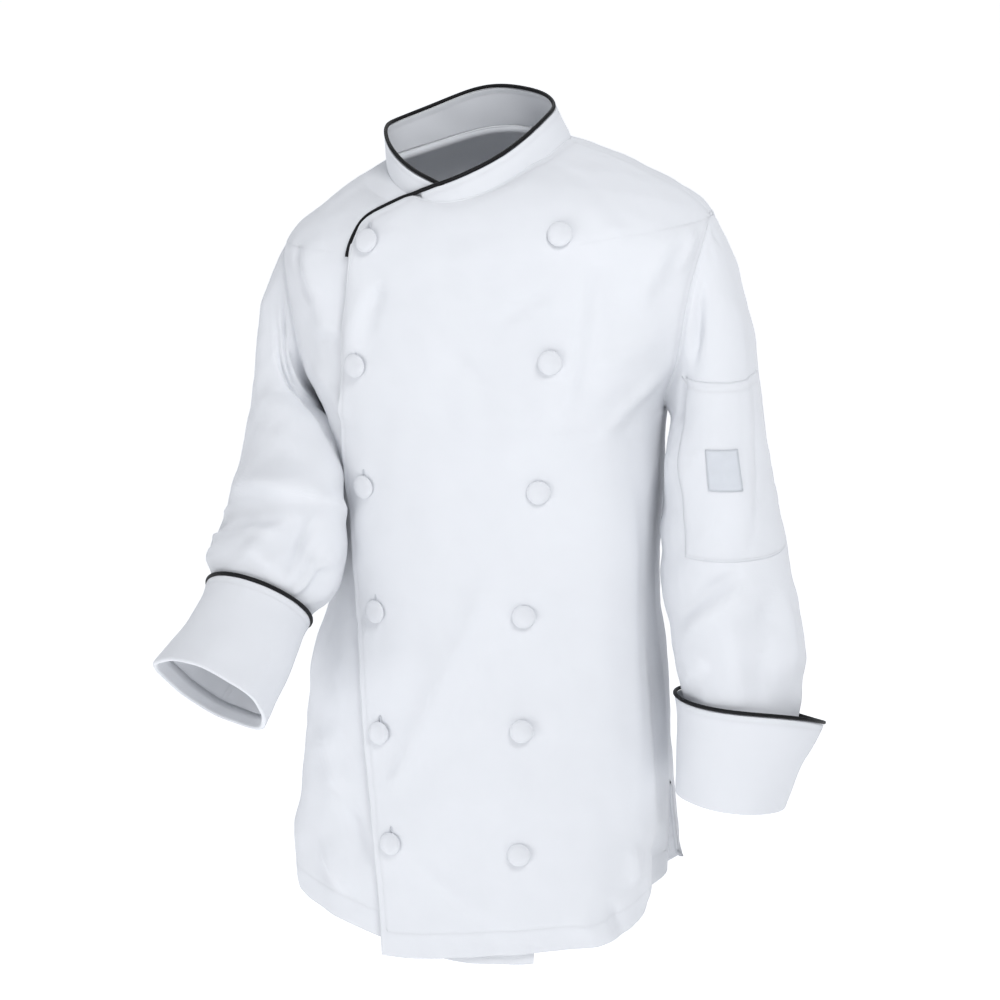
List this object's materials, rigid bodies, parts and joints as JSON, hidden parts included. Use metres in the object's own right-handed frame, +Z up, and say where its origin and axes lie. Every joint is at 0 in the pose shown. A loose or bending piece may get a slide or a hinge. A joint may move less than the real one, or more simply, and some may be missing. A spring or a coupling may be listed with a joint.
{
  "type": "chef jacket",
  "caption": "Double-breasted long-sleeved work jacket with a stand collar, covered buttons, contrast piping, turned-back cuffs and a sleeve pocket, in the hollow shape it has when worn.",
  "frame": {"origin": "middle of the neck hole, at the mean height where the two shoulder seams reach the collar", "axes": "+Z up, -Y the front of the jacket, +X the wearer's left"},
  "size_m": [0.6249, 0.3817, 0.8444],
  "materials": {
    "cloth": "white polyester and cotton twill, matt, with turned and stitched edges",
    "piping": "black satin piping, slightly shiny",
    "label": "bare woven label, pale grey, matt",
    "covered_button": "button covered in the jacket's own white cloth"
  },
  "bodies": {
    "root": {"left_front": "cloth", "right_front": "cloth", "back": "cloth", "collar": "cloth", "collar_piping": "piping", "front_piping": "piping", "left_sleeve": "cloth", "left_cuff": "cloth", "left_cuff_piping": "piping", "sleeve_pocket": "cloth", "label": "label", "right_sleeve": "cloth", "right_cuff": "cloth", "right_cuff_piping": "piping", "button_edge_1": "covered_button", "button_edge_2": "covered_button", "button_edge_3": "covered_button", "button_edge_4": "covered_button", "button_edge_5": "covered_button", "button_edge_6": "covered_button", "button_chest_1": "covered_button", "button_chest_2": "covered_button", "button_chest_3": "covered_button", "button_chest_4": "covered_button", "button_chest_5": "covered_button", "button_chest_6": "covered_button"}
  },
  "joints": []
}
